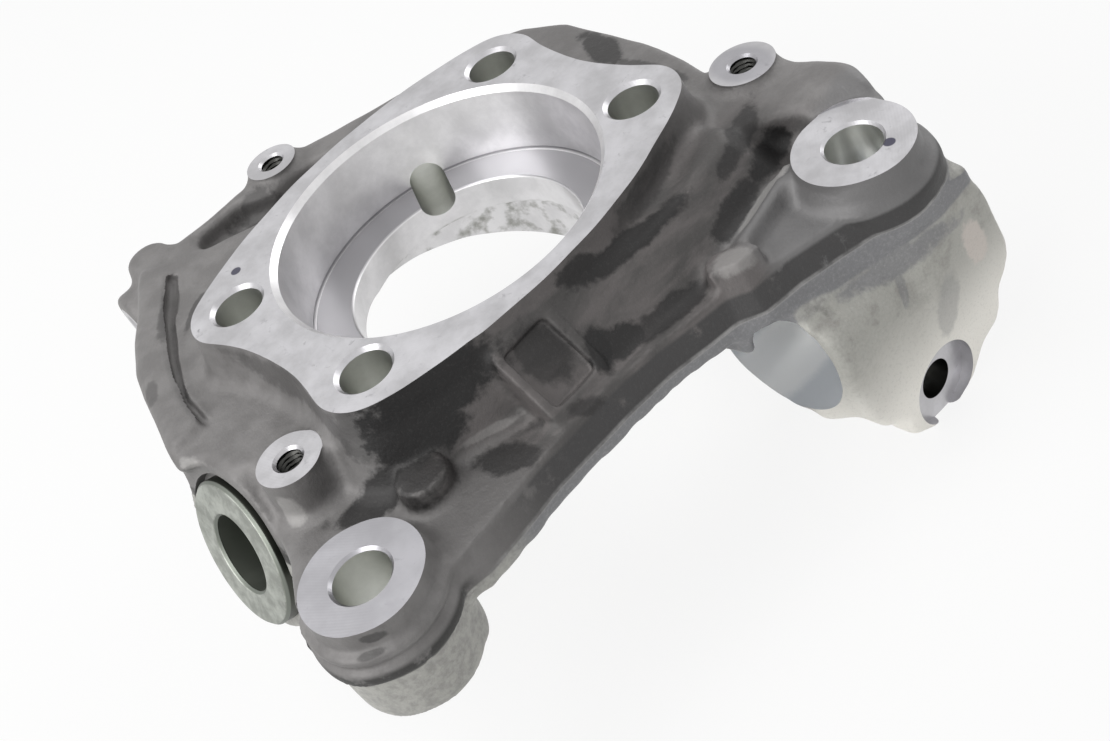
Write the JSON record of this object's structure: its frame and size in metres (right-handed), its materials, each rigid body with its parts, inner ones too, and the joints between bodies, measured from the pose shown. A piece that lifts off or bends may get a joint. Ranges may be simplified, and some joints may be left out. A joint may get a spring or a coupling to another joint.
{
  "type": "steering knuckle",
  "caption": "Cast steering knuckle with a flanged bearing seat, caliper lugs, dust-shield bosses, a pressed link bushing and a forked bracket with a bore.",
  "frame": {"origin": "centre of the bearing seat, on the machined flange face; the row is drawn flange up, as in the work, and lies on nothing in this frame", "axes": "+Z out of the flange along the bearing axis, +X along the long side of the four-bolt pattern towards the fork bracket, +Y away from the caliper lugs"},
  "size_m": [0.1874, 0.1996, 0.0886],
  "materials": {
    "cast_aluminium": "as cast, with machined seats, bores and faces",
    "plated_steel": "zinc-plated"
  },
  "bodies": {
    "root": {"knuckle_casting": "cast_aluminium", "link_bushing": "plated_steel"}
  },
  "joints": []
}
